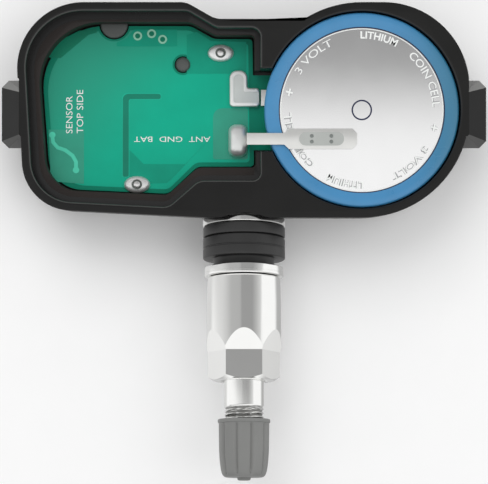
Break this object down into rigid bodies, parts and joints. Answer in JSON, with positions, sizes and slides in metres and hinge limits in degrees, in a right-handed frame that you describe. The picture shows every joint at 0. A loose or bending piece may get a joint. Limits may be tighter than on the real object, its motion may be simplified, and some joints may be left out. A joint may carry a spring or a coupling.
{
  "type": "tire pressure monitor",
  "caption": "Wheel-mounted tire pressure sensor: open black housing with circuit board and coin cell, on a clamp-in valve stem with rubber grommet, nut and screw cap",
  "frame": {"origin": "middle of the housing's flat underside, on the valve stem's centre line in X", "axes": "+Z out of the housing's open face, +Y away from the valve stem, +X toward the coin cell"},
  "size_m": [0.0632, 0.0614, 0.0139],
  "materials": {
    "black_plastic": "fine matte moulding, glossier inside the pocket",
    "board_laminate": "green solder mask with darker copper areas and white marks",
    "antenna_wire": "tinned copper wire",
    "solder": "bright frosted solder",
    "tab_strip": "plain nickel strip",
    "chip_package": "moulded package",
    "tinned_can": "tinned",
    "coil_winding": "enamelled winding",
    "ceramic_body": "fired ceramic",
    "silicone_seal": "soft silicone",
    "vent_film": "porous white film",
    "cell_steel": "satin nickel-plated steel",
    "gasket_nylon": "nylon",
    "cathode_pellet": "pressed powder",
    "separator_film": "fibre film",
    "lithium": "soft metal foil",
    "shrink_sleeve": "blue heat-shrink film",
    "stem_aluminium": "bright turned aluminium",
    "grommet_rubber": "smooth black rubber",
    "nut_aluminium": "bright turned aluminium",
    "core_brass": "turned brass",
    "core_rubber": "rubber",
    "spring_steel": "spring wire",
    "cap_plastic": "matte grey moulding with ribs",
    "seal_rubber": "rubber"
  },
  "bodies": {
    "sensor": {"housing": "black_plastic", "circuit_board": "board_laminate", "antenna_loop": "antenna_wire", "solder_antenna_upper": "solder", "solder_antenna_lower": "solder", "solder_positive": "solder", "solder_negative": "solder", "positive_tab": "tab_strip", "negative_tab": "tab_strip", "pressure_sensor": "chip_package", "radio_chip": "chip_package", "crystal": "tinned_can", "wake_up_coil": "coil_winding", "supply_capacitor": "ceramic_body", "tuning_capacitor": "ceramic_body", "matching_inductor": "tinned_can", "port_seal": "silicone_seal", "port_membrane": "vent_film", "cell_can": "cell_steel", "cell_cap": "cell_steel", "cell_gasket": "gasket_nylon", "cell_cathode": "cathode_pellet", "cell_separator": "separator_film", "cell_anode": "lithium", "cell_sleeve": "shrink_sleeve", "valve_stem": "stem_aluminium", "backing_ring": "grommet_rubber", "rim_grommet": "grommet_rubber", "core_body": "core_brass", "core_spring": "spring_steel"},
    "washer": {"nut_washer": "nut_aluminium"},
    "nut": {"clamp_nut": "nut_aluminium"},
    "cap_liner": {"cap_seal": "seal_rubber"},
    "cap": {"valve_cap": "cap_plastic"},
    "plunger": {"core_pin": "core_brass", "core_seal": "core_rubber"}
  },
  "joints": [
    {"name": "washer_slide", "type": "slide", "parent": "sensor", "child": "washer", "axis": [0, -0.9863, 0.165], "range_m": [0, 0.004]},
    {"name": "nut_turn", "type": "hinge", "parent": "washer", "child": "nut", "pos_m": [0, -0.0138, 0.0055], "axis": [0, -0.9863, 0.165], "range_deg": [0, 1845]},
    {"name": "liner_slide", "type": "slide", "parent": "sensor", "child": "cap_liner", "axis": [0, -0.9863, 0.165], "range_m": [0, 0.00636]},
    {"name": "cap_turn", "type": "hinge", "parent": "cap_liner", "child": "cap", "pos_m": [0, -0.0138, 0.0055], "axis": [0, -0.9863, 0.165], "range_deg": [0, 4345]},
    {"name": "pin_press", "type": "slide", "parent": "sensor", "child": "plunger", "axis": [0, 0.9863, -0.165], "range_m": [0, 0.001], "stiffness_N_per_m": 600, "deforming": ["core_spring"]}
  ],
  "couplings": [
    {"joint": "nut_turn", "follows": "washer_slide", "rad_per_m": 7854.2},
    {"joint": "cap_turn", "follows": "liner_slide", "rad_per_m": 11855}
  ]
}
